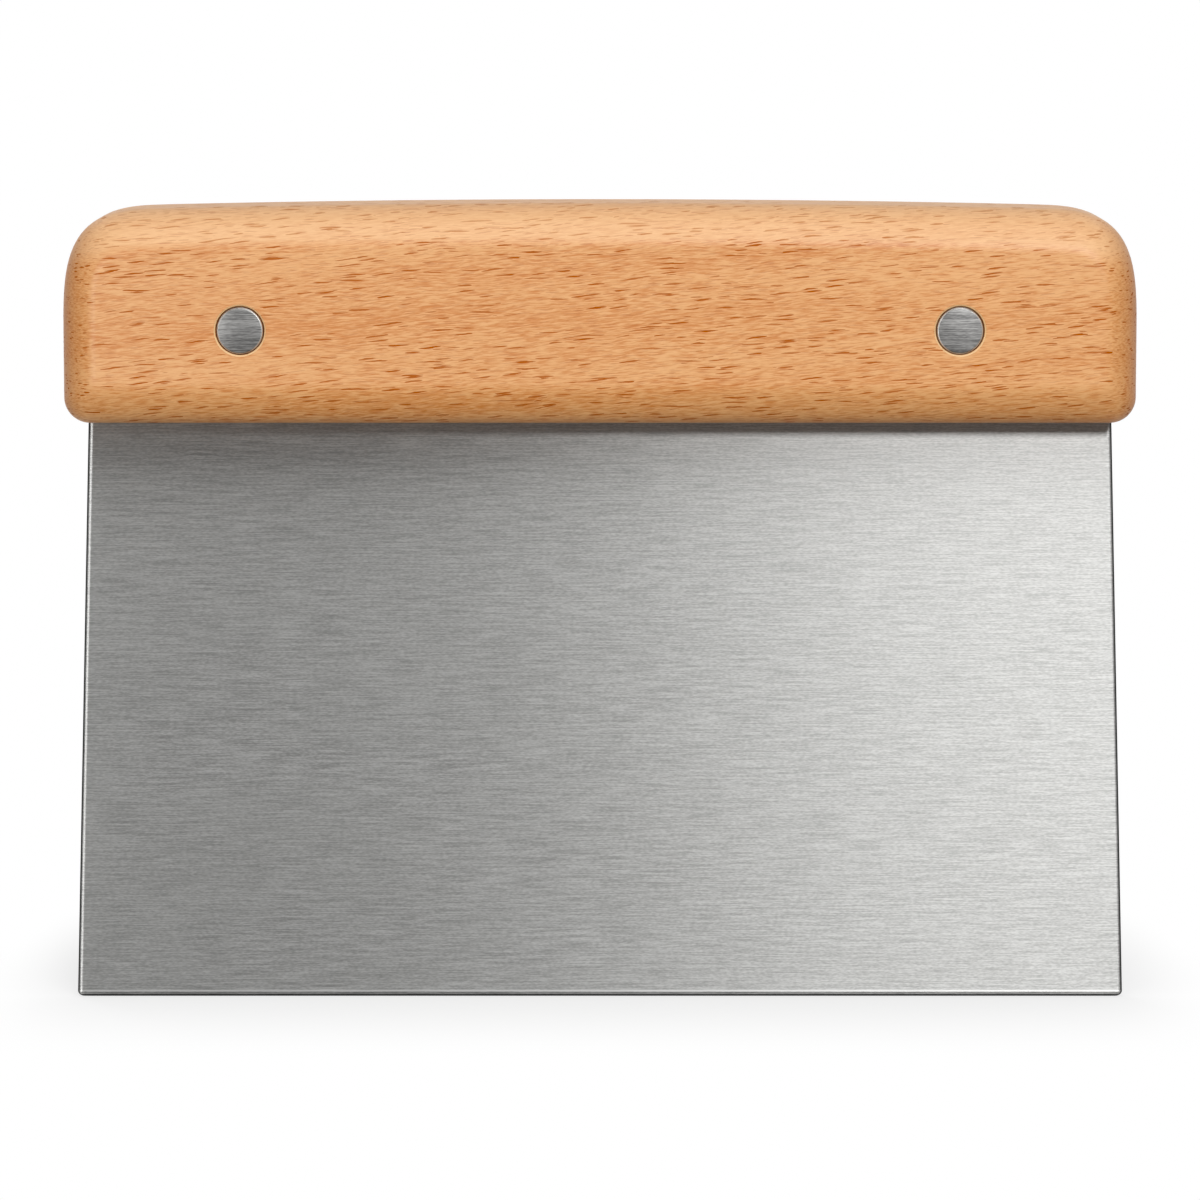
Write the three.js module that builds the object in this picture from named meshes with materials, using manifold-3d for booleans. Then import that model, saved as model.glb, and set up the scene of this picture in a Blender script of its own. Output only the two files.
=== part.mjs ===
// Dough scraper: a beech handle with a stainless blade let into a saw kerf and held by two
// cutler's rivets, each of a socket half and a pin half. Millimetres, +Z up. The scraper
// stands on its working edge: the origin is the middle of that edge, +X runs along it and
// the front faces -Y.

import * as THREE from 'three';
import { mergeVertices, toCreasedNormals } from 'three/addons/utils/BufferGeometryUtils.js';
import Module from 'manifold-3d';

// Blade: one flat sheet that widens from the wood down to the working edge
const edgeWidth = 152;
const rootWidth = 147;            // where the blade leaves the wood
const bladeReach = 84.2;          // from the working edge up to the wood
const bladeThickness = 1.2;
const bladeCornerRadius = 0.9;
const easedEdge = 0.2;            // arris broken all round the sheet
const grindHeight = 0.7;          // bevel ground on both faces of the working edge
const edgeLand = 0.5;             // flat left at the working edge

// Handle: a block with a crowned top, round corners and a round-over that meets the
// front and back flats at a faint crease
const handleOverhang = 3;         // wood past the blade at each end
const handleHeight = 31.4;
const handleThickness = 22;
const crownRise = 0.85;
const topCorner = 10.8;
const bottomCorner = 3.7;
const longRoundOver = 5.4;        // taken off the flat along the top and the bottom
const endRoundOver = 4.6;         // taken off the flat at both ends
const roundOverDepth = 6;         // taken off the thickness on each side
const flatTopCorner = 5.8;
const flatBottomCorner = 1.4;
const roundOverSweep = THREE.MathUtils.degToRad(70);

// Rivets: flush heads in counterbores, a tubular socket and a solid pin
const rivetSetIn = 25.5;          // centre from the handle's end
const rivetHeight = 13.6;         // centre above the wood's underside
const headDiameter = 6.7;
const headThickness = 2.4;
const headRecess = 0.08;          // face below the wood's flat
const headRim = 0.35;             // rounding of the head's edge
const barrelDiameter = 5;
const pinDiameter = 3.2;
const pinLead = 0.4;              // chamfer on the pin's tip
const socketWeb = 1;              // solid metal between the socket's head and its bore
const bladeAboveRivet = 6;        // steel above the rivet's centre

// Clearances
const kerfSideGap = 0.1;
const kerfRootGap = 0.5;
const bladeHoleGap = 0.1;
const barrelGap = 0.1;
const headGap = 0.17;             // the dark ring round each head
const headSeatGap = 0.05;
const pinGap = 0.06;
const barrelEndGap = 0.8;
const pinTipGap = 0.8;

// Facets
const cornerSteps = 10;
const crownSteps = 12;
const roundOverSteps = 6;
const rimSteps = 3;
const bladeCornerSteps = 4;
const roundSegments = 32;
const creaseAngle = THREE.MathUtils.degToRad(25);

// Worked out from the sizes above
const handleLength = rootWidth + 2 * handleOverhang;
const halfThickness = handleThickness / 2;
const handleTop = bladeReach + handleHeight;
const rivetZ = bladeReach + rivetHeight;
const rivetX = handleLength / 2 - rivetSetIn;
const tangDepth = rivetHeight + bladeAboveRivet;
const bladeTop = bladeReach + tangDepth;
const flarePerHeight = (edgeWidth - rootWidth) / 2 / bladeReach;
const kerfWidth = bladeThickness + 2 * kerfSideGap;
const headFace = halfThickness - headRecess;
const headSeat = headFace - headThickness;
const counterboreFloor = headSeat - headSeatGap;
const headRadius = headDiameter / 2;
const counterboreRadius = headRadius + headGap;
const barrelRadius = barrelDiameter / 2;
const pinRadius = pinDiameter / 2;
const barrelEnd = counterboreFloor - barrelEndGap;
const boreEnd = socketWeb - headSeat;
const pinTip = boreEnd + pinTipGap;
const quarterTurn = Math.PI / 2;

const beech = new THREE.MeshStandardMaterial({ color: 0xdea069, roughness: 0.55, metalness: 0 });
const brushedSteel = new THREE.MeshStandardMaterial({ color: 0xb9b8b5, roughness: 0.35, metalness: 1 });
const rivetSteel = new THREE.MeshStandardMaterial({ color: 0xaaa8a4, roughness: 0.3, metalness: 1 });

const wasm = await Module();
wasm.setup();

// Closed geometry as a solid that can be cut
function solidOf(geometry) {
  const bare = geometry.clone();
  bare.deleteAttribute('normal');
  bare.deleteAttribute('uv');
  const merged = mergeVertices(bare);
  return new wasm.Manifold(new wasm.Mesh({
    numProp: 3,
    vertProperties: new Float32Array(merged.attributes.position.array),
    triVerts: new Uint32Array(merged.index.array),
  }));
}

function geometryOf(solid) {
  const { vertProperties, triVerts } = solid.getMesh();
  const geometry = new THREE.BufferGeometry();
  geometry.setAttribute('position', new THREE.BufferAttribute(vertProperties, 3));
  geometry.setIndex(new THREE.BufferAttribute(triVerts, 1));
  return toCreasedNormals(geometry, creaseAngle);
}

function cutAll(geometry, cutters) {
  const cut = cutters.reduce((solid, cutter) => solid.subtract(solidOf(cutter)), solidOf(geometry));
  return geometryOf(cut);
}

function arc(x, y, radius, from, to, steps) {
  return new THREE.EllipseCurve(x, y, radius, radius, from, to).getPoints(steps);
}

// Round cutter along Y at one rivet, from one depth to another
function boreCutter(side, radius, fromY, toY) {
  const length = toY - fromY;
  const cylinder = new THREE.CylinderGeometry(radius, radius, length, roundSegments);
  return cylinder.translate(side * rivetX, fromY + length / 2, rivetZ);
}

// Handle outline in X and Z, anticlockwise from the front: drawnIn is 0 at the widest
// outline and 1 at the flats. The crown runs smoothly into both top corners.
function handleOutline(drawnIn) {
  const halfLength = handleLength / 2 - endRoundOver * drawnIn;
  const low = bladeReach + longRoundOver * drawnIn;
  const high = handleTop - longRoundOver * drawnIn;
  const topRadius = THREE.MathUtils.lerp(topCorner, flatTopCorner, drawnIn);
  const bottomRadius = THREE.MathUtils.lerp(bottomCorner, flatBottomCorner, drawnIn);
  const topX = halfLength - topRadius;
  const topZ = high - crownRise - topRadius;
  const bottomX = halfLength - bottomRadius;
  const bottomZ = low + bottomRadius;
  const lean = 2 * Math.atan(crownRise / topX);
  const crownRadius = topRadius + topX / Math.sin(lean);
  const crownZ = topZ - topX / Math.tan(lean);
  return [
    ...arc(bottomX, bottomZ, bottomRadius, -quarterTurn, 0, cornerSteps),
    ...arc(topX, topZ, topRadius, 0, quarterTurn - lean, cornerSteps),
    ...arc(0, crownZ, crownRadius, quarterTurn - lean, quarterTurn + lean, crownSteps).slice(1, -1),
    ...arc(-topX, topZ, topRadius, quarterTurn + lean, 2 * quarterTurn, cornerSteps),
    ...arc(-bottomX, bottomZ, bottomRadius, 2 * quarterTurn, 3 * quarterTurn, cornerSteps),
  ];
}

// One ring of the handle's skin: step 0 is the widest, the last step lies on a flat
function handleRing(side, step) {
  const angle = roundOverSweep * step / roundOverSteps;
  const drawnIn = (1 - Math.cos(angle)) / (1 - Math.cos(roundOverSweep));
  const depth = roundOverDepth * Math.sin(angle) / Math.sin(roundOverSweep);
  const y = side * (halfThickness - roundOverDepth + depth);
  return handleOutline(drawnIn).map((point) => new THREE.Vector3(point.x, y, point.y));
}

// Skin over rings of equal point counts, from front to back, closed by a fan at each end
function loft(rings) {
  const count = rings[0].length;
  const last = (rings.length - 1) * count;
  const frontHub = rings.length * count;
  const backHub = frontHub + 1;
  const hubs = [rings[0], rings.at(-1)].map((ring) => new THREE.Box3().setFromPoints(ring)
    .getCenter(new THREE.Vector3()));
  const index = [];
  for (let i = 0; i < count; i++) {
    const next = (i + 1) % count;
    index.push(frontHub, i, next);
    index.push(backHub, last + next, last + i);
    for (let start = 0; start < last; start += count) {
      const behind = start + count;
      index.push(start + i, behind + i, behind + next);
      index.push(start + i, behind + next, start + next);
    }
  }
  const geometry = new THREE.BufferGeometry().setFromPoints([...rings.flat(), ...hubs]);
  return geometry.setIndex(index);
}

function makeHandle() {
  const rings = [];
  for (let step = 0; step <= roundOverSteps; step++) {
    rings.unshift(handleRing(-1, step));
    rings.push(handleRing(1, step));
  }

  // The kerf is sawn right through both ends, and the cutter starts below the wood
  const kerfTop = bladeTop + kerfRootGap;
  const kerf = new THREE.BoxGeometry(2 * handleLength, kerfWidth, 2 * (kerfTop - bladeReach));
  kerf.translate(0, 0, bladeReach);

  const cutters = [kerf];
  for (const side of [-1, 1]) {
    cutters.push(boreCutter(side, barrelRadius + barrelGap, -handleThickness, handleThickness));
    cutters.push(boreCutter(side, counterboreRadius, -handleThickness, -counterboreFloor));
    cutters.push(boreCutter(side, counterboreRadius, counterboreFloor, handleThickness));
  }
  return cutAll(loft(rings), cutters);
}

// Wedge that grinds one face of the working edge, drawn past both ends of its slope
function grindCutter(face) {
  const halfLand = edgeLand / 2;
  const run = bladeThickness / 2 - halfLand;
  const inner = halfLand - run;
  const outer = halfLand + 2 * run;
  const wedge = new THREE.Shape([
    new THREE.Vector2(face * inner, -grindHeight),
    new THREE.Vector2(face * outer, -grindHeight),
    new THREE.Vector2(face * outer, 2 * grindHeight),
  ]);
  const geometry = new THREE.ExtrudeGeometry(wedge, { depth: 2 * edgeWidth, bevelEnabled: false });
  const alongX = new THREE.Matrix4().makeBasis(
    new THREE.Vector3(0, 1, 0),
    new THREE.Vector3(0, 0, 1),
    new THREE.Vector3(1, 0, 0),
  );
  return geometry.translate(0, 0, -edgeWidth).applyMatrix4(alongX);
}

function makeBlade() {
  // Straight flared sides that meet the working edge in small round corners
  const flare = Math.atan(flarePerHeight);
  const topHalf = edgeWidth / 2 - flarePerHeight * bladeTop;
  const radius = bladeCornerRadius;
  const cornerX = edgeWidth / 2 - radius * (1 + Math.sin(flare)) / Math.cos(flare);
  const outline = new THREE.Shape([
    ...arc(cornerX, radius, radius, -quarterTurn, flare, bladeCornerSteps),
    new THREE.Vector2(topHalf, bladeTop),
    new THREE.Vector2(-topHalf, bladeTop),
    ...arc(-cornerX, radius, radius, 2 * quarterTurn - flare, 3 * quarterTurn, bladeCornerSteps),
  ]);
  const depth = bladeThickness - 2 * easedEdge;
  const sheet = new THREE.ExtrudeGeometry(outline, {
    depth,
    bevelSize: easedEdge,
    bevelThickness: easedEdge,
    bevelOffset: -easedEdge,
    bevelSegments: 1,
  });
  sheet.translate(0, 0, -depth / 2).rotateX(quarterTurn);

  const cutters = [-1, 1].map((face) => grindCutter(face));
  for (const side of [-1, 1]) {
    cutters.push(boreCutter(side, barrelRadius + bladeHoleGap, -bladeThickness, bladeThickness));
  }
  return cutAll(sheet, cutters);
}

// Front half of a rivet, turned about Y: a head in the front flat and an open barrel
function makeSocket() {
  const rim = arc(headRadius - headRim, -headFace + headRim, headRim, -quarterTurn, 0, rimSteps);
  const boreRadius = pinRadius + pinGap;
  return new THREE.LatheGeometry([
    new THREE.Vector2(0, -headFace),
    ...rim,
    new THREE.Vector2(headRadius, -headSeat),
    new THREE.Vector2(barrelRadius, -headSeat),
    new THREE.Vector2(barrelRadius, barrelEnd),
    new THREE.Vector2(boreRadius, barrelEnd),
    new THREE.Vector2(boreRadius, boreEnd),
    new THREE.Vector2(0, boreEnd),
  ], roundSegments);
}

// Back half of a rivet: a head in the back flat and a shank that enters the barrel
function makePin() {
  const rim = arc(headRadius - headRim, headFace - headRim, headRim, 0, quarterTurn, rimSteps);
  return new THREE.LatheGeometry([
    new THREE.Vector2(0, pinTip),
    new THREE.Vector2(pinRadius - pinLead, pinTip),
    new THREE.Vector2(pinRadius, pinTip + pinLead),
    new THREE.Vector2(pinRadius, headSeat),
    new THREE.Vector2(headRadius, headSeat),
    ...rim,
    new THREE.Vector2(0, headFace),
  ], roundSegments);
}

function addPiece(group, name, geometry, material) {
  const piece = new THREE.Mesh(geometry, material);
  piece.name = name;
  group.add(piece);
}

const doughScraper = new THREE.Group();
addPiece(doughScraper, 'handle', makeHandle(), beech);
addPiece(doughScraper, 'blade', makeBlade(), brushedSteel);

for (const [place, side] of [['left', -1], ['right', 1]]) {
  const rivet = new THREE.Group();
  rivet.position.set(side * rivetX, 0, rivetZ);
  addPiece(rivet, `rivet_socket_${place}`, makeSocket(), rivetSteel);
  addPiece(rivet, `rivet_pin_${place}`, makePin(), rivetSteel);
  doughScraper.add(rivet);
}

export default doughScraper;
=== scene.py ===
# Dough scraper on a white table: oiled beech handle, brushed stainless blade, flush rivets
import math
from functools import partial
import bpy
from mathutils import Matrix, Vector


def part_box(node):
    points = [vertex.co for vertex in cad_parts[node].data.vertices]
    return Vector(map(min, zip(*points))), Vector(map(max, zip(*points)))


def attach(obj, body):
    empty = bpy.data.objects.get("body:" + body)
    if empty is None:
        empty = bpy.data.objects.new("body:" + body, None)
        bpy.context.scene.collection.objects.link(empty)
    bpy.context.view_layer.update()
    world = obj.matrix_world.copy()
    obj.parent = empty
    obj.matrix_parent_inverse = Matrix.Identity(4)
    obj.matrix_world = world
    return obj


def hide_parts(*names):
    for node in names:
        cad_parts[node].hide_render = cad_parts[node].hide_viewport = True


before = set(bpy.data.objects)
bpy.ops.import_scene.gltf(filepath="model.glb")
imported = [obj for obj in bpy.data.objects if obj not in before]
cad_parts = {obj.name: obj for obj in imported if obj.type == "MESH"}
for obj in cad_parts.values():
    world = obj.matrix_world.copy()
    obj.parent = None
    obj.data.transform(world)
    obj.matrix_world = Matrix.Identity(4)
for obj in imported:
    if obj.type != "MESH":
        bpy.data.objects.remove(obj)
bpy.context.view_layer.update()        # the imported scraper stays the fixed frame, in metres
scene = bpy.context.scene
scene.view_settings.view_transform = "Standard"
print("frame loaded:", ", ".join(sorted(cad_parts)))


# Small helpers

def mm(size):
    return size / 1000


def linear(hexColour):      # sRGB hex to the linear values that sockets take
    shares = [int(hexColour[i:i + 2], 16) / 255 for i in (1, 3, 5)]
    return [s / 12.92 if s <= 0.04045 else ((s + 0.055) / 1.055) ** 2.4 for s in shares] + [1.0]


def addNode(tree, kind, inputs=None, output=0, **settings):      # a node with its links, gives one output
    node = tree.nodes.new(kind)
    for name, value in settings.items():
        setattr(node, name, value)
    for key, value in (inputs or {}).items():
        if isinstance(value, bpy.types.NodeSocket):
            tree.links.new(value, node.inputs[key])
        else:
            node.inputs[key].default_value = value
    return node.outputs[output] if node.outputs else None


def newMaterial(name):
    material = bpy.data.materials.new(name)
    material.use_nodes = True
    material.node_tree.nodes.clear()
    return material, partial(addNode, material.node_tree)


noiseLow, noiseHigh = 0.3, 0.7      # Blender's noise mostly lies between these

# Beech, steamed, sanded and oiled: a warm even ground with fine fibre, and rays that show as short
# dark flecks on the long faces and as dots on the ends. The oil leaves a soft sheen. The upper
# shoulder is painted paler with fainter flecks, a painted highlight, and a thin ring round each
# counterbore is painted pale, a painted highlight. The ends go darker with the oil that end grain
# soaks up, and that darkening also paints the shade on the ends. Turn is how far a surface faces
# up or to the ends, at most 1.
rivetSpot = sum(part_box("rivet_socket_right"), Vector()) / 2
beechSpec = {
    "pale": "#e7ad72",
    "deep": "#ce7f38",
    "fleck": "#ad5400",
    # end grain darker from the oil it soaks up, and painted shade on the ends
    "endGrainAndShade": "#b5692b",
    "endFrom": mm(58),                   # from the middle of the handle
    "endTurn": 0.35,                     # turn to the ends where end grain begins
    "endShare": 0.45,
    "shoulderHighlight": "#f3c797",
    "shoulderHighlightShare": 0.5,                  # painted highlight: the upper shoulder is painted paler
    "shoulderHighlightFrom": 0.15,                  # turn upward where that begins and where it is full
    "shoulderHighlightFull": 0.36,
    # painted highlight: a thin pale ring round each counterbore
    "rim": "#f0ca96",
    "highlightRingSpot": (rivetSpot.x, 0, rivetSpot.z),
    "highlightRingRadius": mm(3.61),
    "highlightRingHalfWidth": mm(0.07),
    "grainSlope": 4.5,                   # degrees that the grain climbs along the handle
    "rayCell": (3.8, 0.80, 0.34),        # mm along the grain, into the wood and across
    "rayShare": 0.29,                    # of the cells hold a fleck
    "rayWeakest": 0.75,
    "rayFrom": 0.40,                     # a fleck's outline and its full part, in cells from its middle
    "rayFull": 0.37,
    "rayPoint": 1.5,                     # 1 gives a diamond, 2 an ellipse
    "rayFadeFrom": 0.2,                  # turn upward where the flecks fade under the painted highlight
    "rayFadeFull": 0.35,
    "rayFaded": 0.5,
    "faintCell": (2.6, 0.50, 0.24),
    "faintShare": 0.6,
    "faintStrength": 0.35,
    "fibreCell": (1.9, 0.40, 0.15),
    "fibreSwing": 0.65,                  # how far fibre moves the ground between deep and pale
    "bandCell": (110.0, 12.0, 6.0),
    "bandDeepest": 0.35,
    "bandPalest": 0.85,
    "swayCell": (15.0, 9.0, 6.0),        # slow wander of the grain
    "swaySize": (0.0, 0.5, 0.7),         # mm that it wanders
    "shakeCell": (1.7, 1.2, 0.9),        # small kinks in each fleck
    "shakeSize": (0.0, 0.0, 0.12),
    "slideCell": (30.0, 3.0, 0.45),      # rows of flecks slide past each other
    "slideSize": (5.0, 0.0, 0.0),
    "roughness": 0.45,
    "roughnessSwing": 0.05,
    "sheen": 0.25,                       # of the wood under the oil
    "oilShare": 0.65,
    "oilRoughness": 0.42,
    "endOil": 0.15,                      # what end grain leaves on its surface
    "endOilFull": 0.2,
    "topRubFrom": 0.80,                  # turn upward where hands rub the oil off the top
    "topRubFull": 0.98,
    "footRubFrom": -0.1,                 # and off the underside
    "footRubFull": -0.6,
    "bumpDepth": mm(0.03),
    "bumpStrength": 0.6,
    "rayDepth": -0.8,                    # flecks lie below the fibre
}


def makeBeech(spec):
    material, add = newMaterial("oiledBeech")
    place = add("ShaderNodeMapping", {
        "Vector": add("ShaderNodeTexCoord", output="Object"),
        "Rotation": (0, math.radians(spec["grainSlope"]), 0), "Scale": (1000, 1000, 1000)})

    def wander(start, cell, size):      # noise moves a place by up to size, either way
        spot = add("ShaderNodeVectorMath", {0: place, 1: cell}, operation="DIVIDE")
        drift = add("ShaderNodeTexNoise", {"Vector": spot, "Scale": 1.0}, "Color")
        centred = add("ShaderNodeVectorMath", {0: drift, 1: (0.5, 0.5, 0.5)}, operation="SUBTRACT")
        return add("ShaderNodeVectorMath", {0: centred, 1: [2 * s for s in size], 2: start},
                   operation="MULTIPLY_ADD")

    def flecks(cell, share):      # pointed lens shapes, one in some of the cells
        spot = add("ShaderNodeVectorMath", {0: slid, 1: cell}, operation="DIVIDE")
        distance = add("ShaderNodeTexVoronoi", {"Vector": spot, "Scale": 1.0, "Exponent": spec["rayPoint"]},
                       "Distance", distance="MINKOWSKI")
        chance = add("ShaderNodeSeparateColor", {0: distance.node.outputs["Color"]})
        strength = add("ShaderNodeMapRange", {
            0: chance, 1: 1 - share, 2: 1.0, 3: spec["rayWeakest"], 4: 1.0})
        kept = add("ShaderNodeMath", {0: chance, 1: 1 - share}, operation="GREATER_THAN")
        shape = add("ShaderNodeMapRange", {
            0: distance, 1: spec["rayFrom"], 2: spec["rayFull"], 3: 0.0, 4: 1.0},
            interpolation_type="SMOOTHSTEP")
        seen = add("ShaderNodeMath", {0: shape, 1: kept}, operation="MULTIPLY")
        return add("ShaderNodeMath", {0: seen, 1: strength}, operation="MULTIPLY")

    swayed = wander(place, spec["swayCell"], spec["swaySize"])
    kinked = wander(swayed, spec["shakeCell"], spec["shakeSize"])
    slid = wander(kinked, spec["slideCell"], spec["slideSize"])
    rays = flecks(spec["rayCell"], spec["rayShare"])
    faint = flecks(spec["faintCell"], spec["faintShare"])
    fibreSpot = add("ShaderNodeVectorMath", {0: kinked, 1: spec["fibreCell"]}, operation="DIVIDE")
    fibre = add("ShaderNodeTexNoise", {"Vector": fibreSpot, "Scale": 1.0, "Detail": 3.0, "Distortion": 0.4})
    bandSpot = add("ShaderNodeVectorMath", {0: swayed, 1: spec["bandCell"]}, operation="DIVIDE")
    band = add("ShaderNodeTexNoise", {"Vector": bandSpot, "Scale": 1.0, "Detail": 2.0})

    tone = add("ShaderNodeMath", {
        0: add("ShaderNodeMapRange", {
            0: fibre, 1: noiseLow, 2: noiseHigh, 3: -spec["fibreSwing"], 4: spec["fibreSwing"]}),
        1: add("ShaderNodeMapRange", {
            0: band, 1: noiseLow, 2: noiseHigh, 3: spec["bandDeepest"], 4: spec["bandPalest"]})},
        operation="ADD")
    ground = add("ShaderNodeMix", {0: tone, 6: linear(spec["deep"]), 7: linear(spec["pale"])}, 2,
                 data_type="RGBA")
    facing = add("ShaderNodeSeparateXYZ", {0: add("ShaderNodeTexCoord", output="Normal")})
    upward = facing.node.outputs["Z"]
    # painted highlight: upward faces are mixed toward a paler colour
    highlightedShoulder = add("ShaderNodeMix", {
        0: add("ShaderNodeMapRange", {
            0: upward, 1: spec["shoulderHighlightFrom"], 2: spec["shoulderHighlightFull"], 3: 0.0, 4: spec["shoulderHighlightShare"]}),
        6: ground, 7: linear(spec["shoulderHighlight"])}, 2, data_type="RGBA")
    faintly = add("ShaderNodeMix", {
        0: add("ShaderNodeMath", {0: faint, 1: spec["faintStrength"]}, operation="MULTIPLY"),
        6: highlightedShoulder, 7: linear(spec["fleck"])}, 2, data_type="RGBA")
    # the flecks fade on upward faces, under the painted highlight
    rayLevel = add("ShaderNodeMapRange", {
        0: upward, 1: spec["rayFadeFrom"], 2: spec["rayFadeFull"], 3: 1.0, 4: spec["rayFaded"]})
    flecked = add("ShaderNodeMix", {
        0: add("ShaderNodeMath", {0: rays, 1: rayLevel}, operation="MULTIPLY"),
        6: faintly, 7: linear(spec["fleck"])}, 2, data_type="RGBA")

    # end grain soaks up more oil and goes darker; the darkening also paints the shade on the ends
    spot = add("ShaderNodeVectorMath", {0: add("ShaderNodeTexCoord", output="Object")},
               operation="ABSOLUTE")
    endShare = add("ShaderNodeMapRange", {
        0: add("ShaderNodeMath", {0: facing}, operation="ABSOLUTE"),
        1: spec["endTurn"], 2: 1.0, 3: 0.0, 4: spec["endShare"]})
    outer = add("ShaderNodeMath", {0: add("ShaderNodeSeparateXYZ", {0: spot}), 1: spec["endFrom"]},
                operation="GREATER_THAN")
    ended = add("ShaderNodeMix", {
        0: add("ShaderNodeMath", {0: endShare, 1: outer}, operation="MULTIPLY"),
        6: flecked, 7: linear(spec["endGrainAndShade"])}, 2, data_type="RGBA")

    # painted highlight: a thin ring round each counterbore is painted pale
    flatSpot = add("ShaderNodeVectorMath", {0: spot, 1: (1, 0, 1)}, operation="MULTIPLY")
    fromRivet = add("ShaderNodeVectorMath", {0: flatSpot, 1: spec["highlightRingSpot"]}, "Value",
                    operation="DISTANCE")
    onHighlightRing = add("ShaderNodeMath", {0: fromRivet, 1: spec["highlightRingRadius"], 2: spec["highlightRingHalfWidth"]},
                operation="COMPARE")
    colour = add("ShaderNodeMix", {0: onHighlightRing, 6: ended, 7: linear(spec["rim"])}, 2, data_type="RGBA")

    rough, swing = spec["roughness"], spec["roughnessSwing"]
    roughness = add("ShaderNodeMapRange", {
        0: fibre, 1: noiseLow, 2: noiseHigh, 3: rough - swing, 4: rough + swing})
    height = add("ShaderNodeMath", {0: rays, 1: spec["rayDepth"], 2: fibre}, operation="MULTIPLY_ADD")
    bump = add("ShaderNodeBump", {
        "Strength": spec["bumpStrength"], "Distance": spec["bumpDepth"], "Height": height})

    # oil on the faces, less on the ends, none on the top, the underside and in the open pores
    soaked = add("ShaderNodeMapRange", {
        0: endShare, 1: 0.0, 2: spec["endOilFull"], 3: spec["oilShare"], 4: spec["endOil"]})
    topRubbed = add("ShaderNodeMapRange", {
        0: upward, 1: spec["topRubFrom"], 2: spec["topRubFull"], 3: soaked, 4: 0.0})
    footRubbed = add("ShaderNodeMapRange", {
        0: upward, 1: spec["footRubFrom"], 2: spec["footRubFull"], 3: topRubbed, 4: 0.0})
    oil = add("ShaderNodeMapRange", {0: rays, 1: 0.0, 2: 1.0, 3: footRubbed, 4: 0.0})
    sheen = add("ShaderNodeMapRange", {0: rays, 1: 0.0, 2: 1.0, 3: spec["sheen"], 4: 0.0})
    shader = add("ShaderNodeBsdfPrincipled", {
        "Base Color": colour, "Roughness": roughness, "Specular IOR Level": sheen, "Normal": bump,
        "Coat Weight": oil, "Coat Roughness": spec["oilRoughness"]})
    add("ShaderNodeOutputMaterial", {"Surface": shader})
    return material


# Stainless sheet, brushed along the working edge: fine level scratches that draw the light out up and
# down. The sides and land are painted near black and dull, a painted reflection of the dark around
# them, the ground foot is painted dark, a painted shade, and a thin band above it is painted light,
# a painted highlight. Sizes are in mm.
brushedSpec = {
    "face": "#d0d0ce",
    "line": "#a9a9a7",
    # painted reflection: the sides and land are painted near black and dull for the dark they mirror
    "edge": "#131211",
    "edgeMetal": 0.1,
    "edgeFrom": (0.17, 2.0, 0.50),       # turn to a side or down where a surface begins to count as an edge
    "edgeTo": (0.37, 3.0, 0.68),
    # painted highlight: a thin band just above the ground foot is painted lighter
    "lip": "#dddddb",
    "lipHighlightHeight": 0.86,                   # above the table
    "lipHighlightFrom": 0.18,                     # half its width, with and without its soft border
    "lipHighlightFull": 0.10,
    "footShadeHeight": 0.35,                  # painted shade: the ground edge below this is painted dark
    "footShadeFade": 0.05,
    "lineCell": (6.0, 3.0, 0.13),        # real scratches are finer than a pixel, so these are coarser
    "grainCell": (0.6, 2.0, 0.13),
    "grainSwing": 0.35,
    "roughness": 0.44,
    "roughnessSwing": 0.05,
    "anisotropy": 0.97,
    "bumpDepth": mm(0.003),
    "bumpStrength": 0.5,
}

# Stainless rivet heads, linished flush: shorter scratches along the handle, and the rim painted lighter
# than the face, a painted highlight. They sit far above the blade's painted lip highlight and foot shade.
linishedSpec = {
    **brushedSpec,
    "face": "#9b9a98",
    "line": "#656463",
    # painted highlight: the rolled rim is painted lighter than the face
    "edge": "#d8d6d2",
    "edgeMetal": 1.0,
    "lineCell": (5.0, 2.0, 0.13),
    "grainCell": (0.9, 1.0, 0.11),
    "roughness": 0.42,
    "anisotropy": 0.55,
    "bumpDepth": mm(0.005),
}


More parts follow.
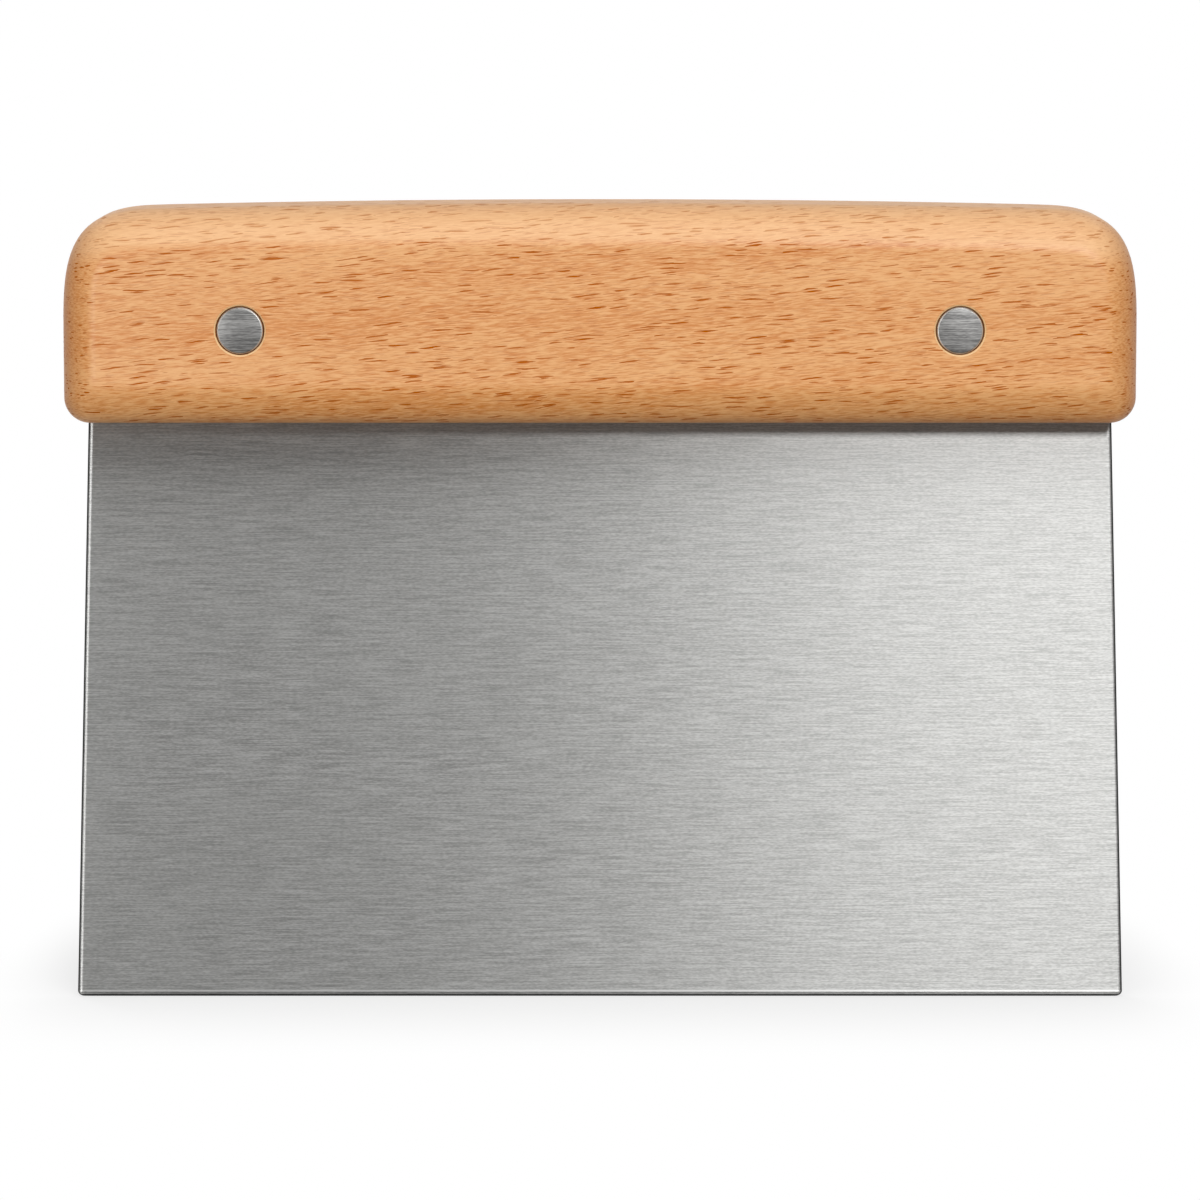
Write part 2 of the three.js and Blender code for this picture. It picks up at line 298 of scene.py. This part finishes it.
def makeSteel(name, spec):
    material, add = newMaterial(name)
    place = add("ShaderNodeMapping", {
        "Vector": add("ShaderNodeTexCoord", output="Object"), "Scale": (1000, 1000, 1000)})
    lineSpot = add("ShaderNodeVectorMath", {0: place, 1: spec["lineCell"]}, operation="DIVIDE")
    lines = add("ShaderNodeTexNoise", {"Vector": lineSpot, "Scale": 1.0, "Detail": 2.0})
    grainSpot = add("ShaderNodeVectorMath", {0: place, 1: spec["grainCell"]}, operation="DIVIDE")
    grain = add("ShaderNodeTexNoise", {"Vector": grainSpot, "Scale": 1.0, "Detail": 1.0})
    share = add("ShaderNodeMath", {
        0: add("ShaderNodeMapRange", {0: lines, 1: noiseLow, 2: noiseHigh, 3: 0.0, 4: 1.0}),
        1: add("ShaderNodeMapRange", {
            0: grain, 1: noiseLow, 2: noiseHigh, 3: -spec["grainSwing"], 4: spec["grainSwing"]})},
        operation="ADD")
    brushed = add("ShaderNodeMix", {0: share, 6: linear(spec["line"]), 7: linear(spec["face"])}, 2,
                  data_type="RGBA")
    # painted marks: turned surfaces take the edge colour, dark on the blade and light on the rivet rims
    facing = add("ShaderNodeVectorMath", {0: add("ShaderNodeTexCoord", output="Normal")},
                 operation="ABSOLUTE")
    shares = add("ShaderNodeMapRange", {
        "Vector": facing, 7: spec["edgeFrom"], 8: spec["edgeTo"]}, "Vector", data_type="FLOAT_VECTOR")
    height = add("ShaderNodeSeparateXYZ", {0: place}, "Z")
    # painted shade along the ground foot of the blade
    footShade = add("ShaderNodeMapRange", {
        0: height, 1: spec["footShadeHeight"], 2: spec["footShadeHeight"] - spec["footShadeFade"], 3: 0.0, 4: 1.0})
    turned = add("ShaderNodeMath", {
        0: add("ShaderNodeVectorMath", {0: shares}, "Value", operation="LENGTH"), 1: footShade},
        operation="MAXIMUM")
    # painted highlight on the lip above the foot
    lipAway = add("ShaderNodeMath", {
        0: add("ShaderNodeMath", {0: height, 1: spec["lipHighlightHeight"]}, operation="SUBTRACT")},
        operation="ABSOLUTE")
    onLipHighlight = add("ShaderNodeMapRange", {0: lipAway, 1: spec["lipHighlightFrom"], 2: spec["lipHighlightFull"], 3: 0.0, 4: 1.0})
    lipHighlighted = add("ShaderNodeMix", {0: onLipHighlight, 6: brushed, 7: linear(spec["lip"])}, 2, data_type="RGBA")
    colour = add("ShaderNodeMix", {0: turned, 6: lipHighlighted, 7: linear(spec["edge"])}, 2, data_type="RGBA")
    metal = add("ShaderNodeMapRange", {0: turned, 1: 0.0, 2: 1.0, 3: 1.0, 4: spec["edgeMetal"]})
    rough, swing = spec["roughness"], spec["roughnessSwing"]
    roughness = add("ShaderNodeMapRange", {
        0: lines, 1: noiseLow, 2: noiseHigh, 3: rough - swing, 4: rough + swing})
    bump = add("ShaderNodeBump", {
        "Strength": spec["bumpStrength"], "Distance": spec["bumpDepth"], "Height": lines})
    tangent = add("ShaderNodeTangent", direction_type="UV_MAP", uv_map="acrossLines")
    shader = add("ShaderNodeBsdfPrincipled", {
        "Base Color": colour, "Metallic": metal, "Roughness": roughness, "Anisotropic": spec["anisotropy"],
        "Normal": bump, "Tangent": tangent})
    add("ShaderNodeOutputMaterial", {"Surface": shader})
    return material


oiledBeech = makeBeech(beechSpec)
brushedStainless = makeSteel("brushedStainless", brushedSpec)
linishedStainless = makeSteel("linishedStainless", linishedSpec)
print("materials made")


# Meshes

def addObject(name, data):
    piece = bpy.data.objects.new(name, data)
    scene.collection.objects.link(piece)
    return piece


def bake(piece):      # live modifiers become a plain mesh
    bpy.context.view_layer.update()
    evaluated = piece.evaluated_get(bpy.context.evaluated_depsgraph_get())
    piece.data = bpy.data.meshes.new_from_object(evaluated)
    piece.modifiers.clear()
    return piece


def smooth(mesh, sharpAbove):      # degrees
    mesh.shade_smooth()
    mesh.set_sharp_from_angle(angle=math.radians(sharpAbove))


def brushAcross(mesh):      # UV whose first axis runs across the brush lines, for the steel's tangent
    perMetre = 10
    layer = mesh.uv_layers.new(name="acrossLines")
    for loop in mesh.loops:
        place = mesh.vertices[loop.vertex_index].co
        layer.data[loop.index].uv = (place.z * perMetre, place.x * perMetre)


def loftMesh(name, rings):      # closed skin over equal rings, with a flat at each end
    count = len(rings[0])
    lastRing = (len(rings) - 1) * count
    faces = [list(range(count)), list(range(lastRing + count - 1, lastRing - 1, -1))]
    for r in range(len(rings) - 1):
        near, far = r * count, (r + 1) * count
        for i in range(count):
            step = (i + 1) % count
            faces.append([near + i, far + i, far + step, near + step])
    mesh = bpy.data.meshes.new(name)
    mesh.from_pydata([p for ring in rings for p in ring], [], faces)
    mesh.update()
    return mesh


def arcPoints(x, z, radius, start, end, steps):
    turns = [start + (end - start) * i / steps for i in range(steps + 1)]
    return [(x + radius * math.cos(t), z + radius * math.sin(t)) for t in turns]


def mixed(first, second, share):
    return first + (second - first) * share


# Handle: crowned block, rounded over to two flats, with a sawn kerf and counterbores for the rivet heads
handleSpec = {
    "crownRise": mm(1.1),
    "topCorner": (mm(15), mm(18.5)),          # along the top and down the end
    "cornerPower": 3.5,                       # 2 is an ellipse, more is squarer with longer blends
    "bottomCorner": mm(3.7),
    "longRoundOver": mm(5.4),
    "endRoundOver": mm(4.6),
    "roundOverDepth": mm(6),
    "flatTopCorner": (mm(8), mm(10)),
    "flatBottomCorner": mm(1.4),
    "sweep": math.radians(70),        # the round-over stops short of the flat, at a faint crease
    "creaseBlend": 0.14,              # share of the round-over that eases the crease, on each side of it
    "kerfSideGap": mm(0.1),
    "kerfRootGap": mm(0.5),
    "kerfReach": 1.1,                 # of the handle's half length, so the cut runs out at both ends
    "headGap": mm(0.12),              # dark ring round each rivet head
    "mouthChamfer": mm(0.24),         # broken edge of each counterbore
    "boreFloor": mm(8.4),             # from the middle of the handle
    "cornerSteps": 24,
    "crownSteps": 20,
    "roundOverSteps": 20,
    "creaseSteps": 6,
    "boreSteps": 96,
}
handleLow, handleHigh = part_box("handle")
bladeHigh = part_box("blade")[1]
rivetNodes = {side: (f"rivet_socket_{side}", f"rivet_pin_{side}") for side in ("left", "right")}
rivetBoxes = {node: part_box(node) for pair in rivetNodes.values() for node in pair}


def handleOutline(spec, drawnIn):      # 0 at the widest outline, 1 at the flats
    quarter = math.pi / 2
    half = handleHigh.x - spec["endRoundOver"] * drawnIn
    low = handleLow.z + spec["longRoundOver"] * drawnIn
    high = handleHigh.z - spec["longRoundOver"] * drawnIn
    wide, tall = (mixed(a, b, drawnIn) for a, b in zip(spec["topCorner"], spec["flatTopCorner"]))
    bottom = mixed(spec["bottomCorner"], spec["flatBottomCorner"], drawnIn)
    steps, power = spec["cornerSteps"], 2 / spec["cornerPower"]
    side = arcPoints(half - bottom, low + bottom, bottom, -quarter, 0, steps)
    drops = [(half - wide + wide * math.cos(t) ** power, tall - tall * math.sin(t) ** power)
             for t in (quarter * i / steps for i in range(steps))]
    reach = half - wide
    drops += [(mixed(reach, 0, i / spec["crownSteps"]), 0) for i in range(spec["crownSteps"])]
    side += [(x, high - spec["crownRise"] * (x / half) ** 2 - drop) for x, drop in drops]
    return side + [(0, high)] + [(-x, z) for x, z in reversed(side)]


def roundOver(spec):      # from the widest outline to the flat, as pairs of drawnIn and y
    drop, full = 1 - math.cos(spec["sweep"]), math.sin(spec["sweep"])
    start = handleHigh.y - spec["roundOverDepth"]
    last = math.acos(1 - drop * (1 - spec["creaseBlend"]))
    arc = [((1 - math.cos(a)) / drop, start + spec["roundOverDepth"] * math.sin(a) / full)
           for a in (last * i / spec["roundOverSteps"] for i in range(spec["roundOverSteps"] + 1))]
    blend = []
    for i in range(1, spec["creaseSteps"] + 1):
        t = i / spec["creaseSteps"]
        ends = (arc[-1], (1, handleHigh.y), (1 + spec["creaseBlend"], handleHigh.y))
        blend.append(tuple(mixed(mixed(a, b, t), mixed(b, c, t), t) for a, b, c in zip(*ends)))
    return arc + blend


def handleRings(spec):
    profile = roundOver(spec)
    both = [(drawnIn, -y) for drawnIn, y in reversed(profile)] + profile
    return [[(x, y, z) for x, z in handleOutline(spec, drawnIn)] for drawnIn, y in both]


def counterbore(spec, node):      # cutter for one head, flared at the mouth
    low, high = rivetBoxes[node]
    centre = (low + high) / 2
    radius = (high.x - low.x) / 2 + spec["headGap"]
    mouth, over = handleHigh.y, spec["mouthChamfer"]
    profile = [(spec["boreFloor"], radius), (mouth - over, radius), (mouth + over, radius + 2 * over)]
    if "socket" in node:      # these heads look out at the front
        profile = [(-y, r) for y, r in reversed(profile)]
    circles = [(y, arcPoints(centre.x, centre.z, r, 0, 2 * math.pi, spec["boreSteps"])[:-1])
               for y, r in profile]
    return [[(x, y, z) for x, z in circle] for y, circle in circles]


def makeHandle(spec):
    piece = addObject("beechHandle", loftMesh("beechHandle", handleRings(spec)))

    halfKerf = bladeHigh.y + spec["kerfSideGap"]
    reach = handleHigh.x * spec["kerfReach"]
    kerfTop = bladeHigh.z + spec["kerfRootGap"]
    kerfFoot = handleLow.z - handleHigh.y      # well below the handle
    kerf = [[(reach, y, kerfFoot), (reach, y, kerfTop), (-reach, y, kerfTop), (-reach, y, kerfFoot)]
            for y in (-halfKerf, halfKerf)]
    for rings in [kerf] + [counterbore(spec, node) for node in rivetBoxes]:
        cutter = addObject("cutter", loftMesh("cutter", rings))
        cut = piece.modifiers.new("cut", "BOOLEAN")
        cut.object = cutter
        cut.solver = "EXACT"
        bake(piece)
        bpy.data.objects.remove(cutter)
    smooth(piece.data, sharpAbove=14)
    piece.data.materials.clear()
    piece.data.materials.append(oiledBeech)
    return piece


beechHandle = makeHandle(handleSpec)
print("handle:", len(beechHandle.data.polygons), "faces")


# Node trees: each has named inputs for its sizes and ends in plain geometry with its material

def newTree(name, sizes):
    tree = bpy.data.node_groups.new(name, "GeometryNodeTree")
    tree.is_modifier = True
    kinds = {float: "NodeSocketFloat", int: "NodeSocketInt", Vector: "NodeSocketVector"}
    for label, value in sizes.items():
        kind = kinds.get(type(value), "NodeSocketMaterial")
        tree.interface.new_socket(label, in_out="INPUT", socket_type=kind)
    tree.interface.new_socket("Geometry", in_out="OUTPUT", socket_type="NodeSocketGeometry")
    return tree, partial(addNode, tree), addNode(tree, "NodeGroupInput").node.outputs


def closeTree(add, geometry, material):
    realized = add("GeometryNodeRealizeInstances", {0: geometry})
    coated = add("GeometryNodeSetMaterial", {"Geometry": realized, "Material": material})
    add("NodeGroupOutput", {0: coated})


def growPiece(name, tree, sizes):
    piece = addObject(name, bpy.data.meshes.new(name))
    form = piece.modifiers.new("form", "NODES")
    form.node_group = tree
    for item in tree.interface.items_tree:
        if item.in_out == "INPUT":
            form[item.identifier] = sizes[item.name]
    return bake(piece)


# Blade: a ring of points drawn up from the working edge, flared, ground at the foot and eased at the sides
bladeSpec = {
    "Half Edge": mm(76),
    "Flare": 2.5 / 84.2,                       # mm that each side comes in over the height that shows
    "Top": bladeHigh.z,
    "Half Thickness": bladeHigh.y,
    "Corner Radius": mm(0.9),
    "Half Land": mm(0.25),
    "Land Chamfer": mm(0.17),
    "Grind Height": mm(0.7),
    "Burr": mm(0.02),                          # lip that the grinding leaves, which catches the light
    "Burr Height": mm(0.25),
    "Eased Width": mm(0.8),                    # the sheared sides roll over
    "Eased Depth": mm(0.24),
    "Most Eased": 0.95,                        # of the half thickness, which leaves a little flat
    "Foot Height": mm(1.2),                    # the rows crowd into this height
    "Foot Rows": 28,
    "Last Level": 0.999,                       # of the top row, short of 1 for rounding
    "Ring Points": 64,
    "Material": brushedStainless,
}


def bladeTree(sizes):
    tree, add, size = newTree("bladeForm", sizes)
    rows = add("ShaderNodeMath", {0: size["Foot Rows"], 1: 1.0}, operation="ADD")
    post = add("GeometryNodeMeshCylinder", {
        "Vertices": size["Ring Points"], "Side Segments": rows, "Radius": 1.0, "Depth": 1.0})
    halfStep = add("ShaderNodeMath", {0: math.pi, 1: size["Ring Points"]}, operation="DIVIDE")
    turned = add("GeometryNodeTransform", {
        "Geometry": post, "Rotation": add("ShaderNodeCombineXYZ", {"Z": halfStep})})
    ring = add("GeometryNodeInputPosition")
    level = add("ShaderNodeMath", {0: add("ShaderNodeSeparateXYZ", {0: ring}, "Z"), 1: 0.5},
                operation="ADD")

    # the last row goes to the top, the others rise from the foot by squares
    footShare = add("ShaderNodeMath", {0: size["Foot Rows"], 1: rows}, operation="DIVIDE")
    rise = add("ShaderNodeMapRange", {0: level, 1: 0.0, 2: footShare, 3: 0.0, 4: 1.0})
    squared = add("ShaderNodeMath", {0: rise, 1: 2.0}, operation="POWER")
    low = add("ShaderNodeMath", {0: squared, 1: size["Foot Height"]}, operation="MULTIPLY")
    last = add("ShaderNodeMath", {0: level, 1: size["Last Level"]}, operation="GREATER_THAN")
    high = add("ShaderNodeMath", {0: last, 1: size["Top"]}, operation="MULTIPLY")
    height = add("ShaderNodeMath", {0: low, 1: high}, operation="MAXIMUM")

    # round corner at each end of the working edge
    corner = size["Corner Radius"]
    below = add("ShaderNodeMath", {
        0: corner, 1: add("ShaderNodeMath", {0: height, 1: corner}, operation="MINIMUM")},
        operation="SUBTRACT")
    chord = add("ShaderNodeMath", {
        0: add("ShaderNodeMath", {0: corner, 1: below}, operation="SUBTRACT"),
        1: add("ShaderNodeMath", {0: corner, 1: below}, operation="ADD")}, operation="MULTIPLY")
    inset = add("ShaderNodeMath", {
        0: corner, 1: add("ShaderNodeMath", {0: chord}, operation="SQRT")}, operation="SUBTRACT")
    drawnIn = add("ShaderNodeMath", {0: height, 1: size["Flare"], 2: inset}, operation="MULTIPLY_ADD")
    halfWidth = add("ShaderNodeMath", {0: size["Half Edge"], 1: drawnIn}, operation="SUBTRACT")

    # ground flat at the foot, with the burr just above it
    lip = add("ShaderNodeMath", {0: size["Half Thickness"], 1: size["Burr"]}, operation="ADD")
    ground = add("ShaderNodeMapRange", {
        0: height, 1: 0.0, 2: size["Grind Height"], 3: size["Half Land"], 4: lip})
    lipTop = add("ShaderNodeMath", {0: size["Grind Height"], 1: size["Burr Height"]}, operation="ADD")
    fade = add("ShaderNodeMapRange", {
        0: height, 1: size["Grind Height"], 2: lipTop, 3: 0.0, 4: size["Burr"]})
    broken = add("ShaderNodeMapRange", {
        0: height, 1: 0.0, 2: size["Land Chamfer"], 3: size["Land Chamfer"], 4: 0.0})
    halfThick = add("ShaderNodeMath", {
        0: ground, 1: add("ShaderNodeMath", {0: fade, 1: broken}, operation="ADD")}, operation="SUBTRACT")

    # each quarter of the ring becomes the eased edge of one corner
    most = add("ShaderNodeMath", {0: halfThick, 1: size["Most Eased"]}, operation="MULTIPLY")
    deep = add("ShaderNodeMath", {0: size["Eased Depth"], 1: most}, operation="MINIMUM")
    core = add("ShaderNodeCombineXYZ", {
        "X": add("ShaderNodeMath", {0: halfWidth, 1: size["Eased Width"]}, operation="SUBTRACT"),
        "Y": add("ShaderNodeMath", {0: halfThick, 1: deep}, operation="SUBTRACT")})
    flatRing = add("ShaderNodeVectorMath", {0: ring, 1: (1, 1, 0)}, operation="MULTIPLY")
    eased = add("ShaderNodeCombineXYZ", {"X": size["Eased Width"], "Y": deep})
    small = add("ShaderNodeVectorMath", {0: flatRing, 1: eased}, operation="MULTIPLY")
    raised = add("ShaderNodeVectorMath", {0: small, 1: add("ShaderNodeCombineXYZ", {"Z": height})},
                 operation="ADD")
    quarters = add("ShaderNodeVectorMath", {0: flatRing}, operation="SIGN")
    spot = add("ShaderNodeVectorMath", {0: quarters, 1: core, 2: raised}, operation="MULTIPLY_ADD")
    closeTree(add, add("GeometryNodeSetPosition", {"Geometry": turned, "Position": spot}), size["Material"])
    return tree


def makeBlade(sizes):
    piece = growPiece("steelBlade", bladeTree(sizes), sizes)
    smooth(piece.data, sharpAbove=12)
    brushAcross(piece.data)
    weighted = piece.modifiers.new("weighted", "WEIGHTED_NORMAL")
    weighted.keep_sharp = True
    return bake(piece)


steelBlade = makeBlade(bladeSpec)
print("blade:", len(steelBlade.data.polygons), "faces")


# Rivets: low round heads with a rolled rim on a plain shank, one on each point of a line
socketLow, socketHigh = rivetBoxes["rivet_socket_left"]
pinLow, pinHigh = rivetBoxes["rivet_pin_left"]
rivetCentre = (socketLow + socketHigh) / 2
rivetSpec = {
    "First": Vector((rivetCentre.x, 0, rivetCentre.z)),
    "Last": Vector((-rivetCentre.x, 0, rivetCentre.z)),
    "Head Radius": (socketHigh.x - socketLow.x) / 2,
    "Head Face": -socketLow.y,
    "Half Head": mm(1.2),
    "Rim": mm(0.35),
    "Dome": mm(0.10),
    "Head Segments": 96,
    "Head Rings": 32,
    "Shank Radius": mm(2.5),
    "Shank Sides": 48,
    "Shank Foot": -socketHigh.y,
    "Turn": Vector((math.pi / 2, 0, 0)),      # the head looks along -Y
    "Material": linishedStainless,
}


def rivetTree(sizes):
    tree, add, size = newTree("rivetForm", sizes)

    # a ball pulled out from its axis and its waist leaves a flat head with a rolled rim
    ball = add("GeometryNodeMeshUVSphere", {
        "Segments": size["Head Segments"], "Rings": size["Head Rings"], "Radius": 1.0})
    unit = add("GeometryNodeInputPosition")
    level = add("ShaderNodeVectorMath", {0: unit, 1: (1, 1, 0)}, operation="MULTIPLY")
    outward = add("ShaderNodeVectorMath", {0: level}, operation="NORMALIZE")
    rolled = add("ShaderNodeVectorMath", {0: unit, "Scale": size["Rim"]}, operation="SCALE")
    flat = add("ShaderNodeMath", {0: size["Head Radius"], 1: size["Rim"]}, operation="SUBTRACT")
    wide = add("ShaderNodeVectorMath", {0: outward, "Scale": flat}, operation="SCALE")
    lift = add("ShaderNodeMath", {0: size["Half Head"], 1: size["Rim"]}, operation="SUBTRACT")
    offAxis = add("ShaderNodeVectorMath", {0: outward}, "Value", operation="LENGTH")
    sunk = add("ShaderNodeMath", {
        0: lift, 1: add("ShaderNodeMath", {0: offAxis, 1: size["Dome"]}, operation="MULTIPLY")},
        operation="SUBTRACT")
    halves = add("ShaderNodeVectorMath", {0: unit}, operation="SIGN")
    pulled = add("ShaderNodeVectorMath", {
        0: halves, 1: add("ShaderNodeCombineXYZ", {"Z": sunk}), 2: rolled}, operation="MULTIPLY_ADD")
    middle = add("ShaderNodeMath", {0: size["Head Face"], 1: size["Half Head"]}, operation="SUBTRACT")
    seated = add("ShaderNodeVectorMath", {0: pulled, 1: add("ShaderNodeCombineXYZ", {"Z": middle})},
                 operation="ADD")
    head = add("GeometryNodeSetPosition", {
        "Geometry": ball, "Position": add("ShaderNodeVectorMath", {0: seated, 1: wide}, operation="ADD")})

    length = add("ShaderNodeMath", {0: middle, 1: size["Shank Foot"]}, operation="SUBTRACT")
    shank = add("GeometryNodeMeshCylinder", {
        "Vertices": size["Shank Sides"], "Radius": size["Shank Radius"], "Depth": length})
    half = add("ShaderNodeMath", {0: length, 1: 0.5, 2: size["Shank Foot"]}, operation="MULTIPLY_ADD")
    placed = add("GeometryNodeTransform", {
        "Geometry": shank, "Translation": add("ShaderNodeCombineXYZ", {"Z": half})})
    rivet = add("GeometryNodeJoinGeometry")
    for part in (head, placed):
        tree.links.new(part, rivet.node.inputs[0])

    line = add("GeometryNodeMeshLine", {
        "Count": 2, "Start Location": size["First"], "Offset": size["Last"]}, mode="END_POINTS")
    pair = add("GeometryNodeInstanceOnPoints", {
        "Points": line, "Instance": rivet, "Rotation": size["Turn"]})
    closeTree(add, pair, size["Material"])
    return tree


def makeRivets(name, tree, sizes):
    piece = growPiece(name, tree, sizes)
    smooth(piece.data, sharpAbove=30)
    brushAcross(piece.data)
    return piece


rivetForm = rivetTree(rivetSpec)
rivetSockets = makeRivets("rivetSockets", rivetForm, rivetSpec)
rivetPins = makeRivets("rivetPins", rivetForm, {
    **rivetSpec,
    "Head Face": pinHigh.y,
    "Shank Radius": mm(1.6),
    "Shank Foot": pinLow.y,
    "Turn": Vector((-math.pi / 2, 0, 0)),
})
print("rivets:", len(rivetSockets.data.polygons) + len(rivetPins.data.polygons), "faces")


# Table: a white sheet that keeps the scraper's soft shadow close by and runs out to plain white
tableSpec = {
    "bounceColour": "#a8a8a6",     # what it throws back at the scraper
    "halfSide": 4.0,
    "seenColour": "#fafafa",
    "contactReach": 0.045,         # metres that the shade of the blade reaches in front
    "contactDepth": 0.21,
    "shadowShare": 0.36,           # how much of the lamps' own light and shadow shows beside the blade
    "shadowHalfLength": 0.072,
    "shadowFade": 0.018,           # how far it runs out at the ends
    "shadowDepth": 3.5,            # it runs out so many times further to the front and back
    "shadowBack": 0.025,           # and lies mostly behind
}


def seenDirectly(add):      # 1 for rays from the camera, a mirror or glass
    path = add("ShaderNodeLightPath", output="Is Camera Ray").node.outputs
    either = add("ShaderNodeMath", {0: path["Is Camera Ray"], 1: path["Is Glossy Ray"]},
                 operation="MAXIMUM")
    return add("ShaderNodeMath", {0: either, 1: path["Is Transmission Ray"]}, operation="MAXIMUM")


def makeTable(spec):
    side = spec["halfSide"]
    mesh = bpy.data.meshes.new("table")
    corners = [(-side, -side, 0), (side, -side, 0), (side, side, 0), (-side, side, 0)]
    mesh.from_pydata(corners, [], [(0, 1, 2, 3)])
    material, add = newMaterial("whiteTable")
    openSky = add("ShaderNodeAmbientOcclusion", {"Distance": spec["contactReach"]}, "AO")
    level = add("ShaderNodeMapRange", {0: openSky, 1: 0.0, 2: 1.0, 3: 1 - spec["contactDepth"], 4: 1.0})
    shadowSpot = add("ShaderNodeMapping", {
        "Vector": add("ShaderNodeTexCoord", output="Object"), "Scale": (1, 1 / spec["shadowDepth"], 1),
        "Location": (0, -spec["shadowBack"] / spec["shadowDepth"], 0)})
    away = add("ShaderNodeVectorMath", {0: shadowSpot}, operation="ABSOLUTE")
    beyond = add("ShaderNodeVectorMath", {0: away, 1: (spec["shadowHalfLength"], 0, 0)},
                 operation="SUBTRACT")
    outside = add("ShaderNodeVectorMath", {0: beyond, 1: (0, 0, 0)}, operation="MAXIMUM")
    distance = add("ShaderNodeVectorMath", {0: outside}, "Value", operation="LENGTH")
    plain = add("ShaderNodeMapRange", {
        0: distance, 1: 0.0, 2: spec["shadowFade"], 3: 1 - spec["shadowShare"], 4: 1.0},
        interpolation_type="SMOOTHSTEP")
    seen = seenDirectly(add)
    colour = add("ShaderNodeMix", {
        0: seen, 6: linear(spec["bounceColour"]), 7: linear(spec["seenColour"])}, 2, data_type="RGBA")
    both = add("ShaderNodeMixShader", {
        0: add("ShaderNodeMath", {0: plain, 1: seen}, operation="MULTIPLY"),
        1: add("ShaderNodeBsdfDiffuse", {"Color": colour}),
        2: add("ShaderNodeEmission", {"Color": (1, 1, 1, 1), "Strength": level})})
    add("ShaderNodeOutputMaterial", {"Surface": both})
    material.cycles.emission_sampling = "NONE"      # it is no lamp
    mesh.materials.append(material)
    return addObject("table", mesh)


makeTable(tableSpec)


# Light: white all round, a softbox above the front for the handle's shoulder, a strip at the right for
# the steel, a lower and weaker one at the left, and a softbox for the back. A dark card lies on the
# table in front and stands up behind the lamps, for the steel to mirror.
skyStrength = 0.28
aim = (0, 0, 0.09)      # low on the handle
softboxes = {
    "shoulderSoftbox": {"place": (0.02, -0.45, 0.79), "size": (0.50, 0.44), "power": 1.2},
    "rightStrip": {"place": (0.20, -0.65, 0.35), "size": (0.34, 0.10), "power": 2.5},
    "leftStrip": {"place": (-0.31, -0.64, 0.11), "size": (0.14, 0.18), "power": 1.2},
    "backSoftbox": {
        "place": (-0.44, 0.66, 0.40), "size": (0.28, 0.28), "power": 1.5, "mirrored": False},
}
cardSpec = {
    "halfWidth": 1.3,
    "near": 0.0003,         # metres in front of the blade
    "far": 0.95,
    "lift": 0.0001,         # above the table
    "tall": 0.75,
    "grey": "#7a7a7a",
}


def makeSky(strength):
    world = bpy.data.worlds.new("studio")
    scene.world = world
    world.use_nodes = True
    world.node_tree.nodes.clear()
    add = partial(addNode, world.node_tree)
    level = add("ShaderNodeMapRange", {0: seenDirectly(add), 1: 0.0, 2: 1.0, 3: strength, 4: 1.0})
    add("ShaderNodeOutputWorld", {
        "Surface": add("ShaderNodeBackground", {"Color": (1, 1, 1, 1), "Strength": level})})


def aimAt(thing, target):
    thing.rotation_euler = (Vector(target) - thing.location).to_track_quat("-Z", "Y").to_euler()


def makeSoftbox(name, spec):
    lamp = bpy.data.lights.new(name, "AREA")
    lamp.shape = "RECTANGLE"
    lamp.size, lamp.size_y = spec["size"]
    lamp.energy = spec["power"]
    softbox = addObject(name, lamp)
    softbox.location = spec["place"]
    softbox.visible_glossy = spec.get("mirrored", True)      # the back one would glare off the handle's top
    aimAt(softbox, aim)


def makeCard(spec):
    wide, lift = spec["halfWidth"], spec["lift"]
    profile = [(-spec["near"], lift), (-spec["far"], lift), (-spec["far"], spec["tall"])]
    mesh = bpy.data.meshes.new("darkCard")
    points = [(x, y, z) for y, z in profile for x in (-wide, wide)]
    mesh.from_pydata(points, [], [(0, 1, 3, 2), (2, 3, 5, 4)])
    material, add = newMaterial("darkCard")
    add("ShaderNodeOutputMaterial", {
        "Surface": add("ShaderNodeEmission", {"Color": linear(spec["grey"]), "Strength": 1.0})})
    material.cycles.emission_sampling = "NONE"
    mesh.materials.append(material)
    card = addObject("darkCard", mesh)
    card.visible_camera = False       # only reflections meet the card
    card.visible_diffuse = False
    card.visible_shadow = False
    return card


makeSky(skyStrength)
for name, spec in softboxes.items():
    makeSoftbox(name, spec)
makeCard(cardSpec)
print("table and light set")


# Camera: square on to the front, a little above
cameraSpec = {
    "aim": (0, 0, mm(58.06)),
    "elevation": math.radians(7),
    "distance": 0.8,
    "focalPixels": 5541.2,       # focal length in pixels of the 1200 pixel frame
    "framePixels": 1200,
}


def makeCamera(spec):
    lens = bpy.data.cameras.new("camera")
    lens.sensor_width = 36      # mm
    lens.lens = lens.sensor_width * spec["focalPixels"] / spec["framePixels"]
    camera = addObject("camera", lens)
    back = Vector((0, -math.cos(spec["elevation"]), math.sin(spec["elevation"])))
    camera.location = Vector(spec["aim"]) + back * spec["distance"]
    aimAt(camera, spec["aim"])
    scene.camera = camera


makeCamera(cameraSpec)

for piece, nodes, slot in (
    (beechHandle, ["handle"], "beech"),
    (steelBlade, ["blade"], "blade_steel"),
    (rivetSockets, [pair[0] for pair in rivetNodes.values()], "rivet_steel"),
    (rivetPins, [pair[1] for pair in rivetNodes.values()], "rivet_steel"),
):
    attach(piece, "root")
    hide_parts(*nodes)

print("pieces ride on the frame")
